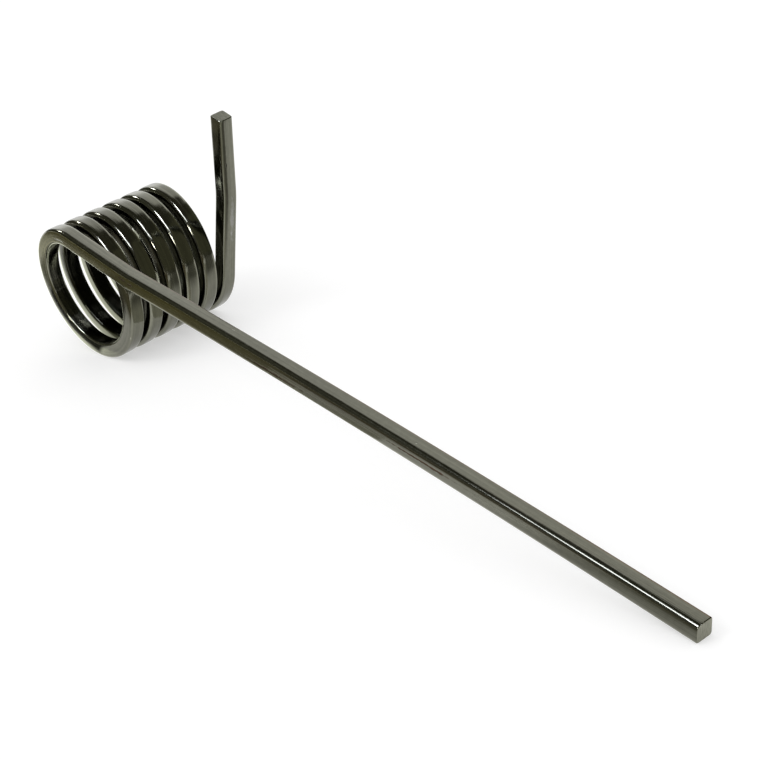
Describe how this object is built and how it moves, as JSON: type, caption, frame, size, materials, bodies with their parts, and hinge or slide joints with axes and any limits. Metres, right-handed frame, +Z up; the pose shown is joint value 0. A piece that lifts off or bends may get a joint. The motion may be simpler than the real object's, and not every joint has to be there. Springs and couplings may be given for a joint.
{
  "type": "torsion spring",
  "caption": "Left-hand torsion spring coiled from square wire with rounded edges, with a long straight leg at one end and a short, slightly bent leg at the other.",
  "frame": {"origin": "on the coil's axis, level along it with the middle of the wire where the long leg leaves the coil", "axes": "+Y along the coil's axis, from the long leg's end to the short leg's; +X the way the long leg points; +Z up, with the spring lying on its barrel and on the tip of its long leg"},
  "size_m": [0.2819, 0.058, 0.0733],
  "materials": {
    "spring_steel": "dark olive-grey spring steel, drawn smooth and oil-blackened, with a low gloss"
  },
  "bodies": {
    "root": {"torsion_spring": "spring_steel"}
  },
  "joints": []
}
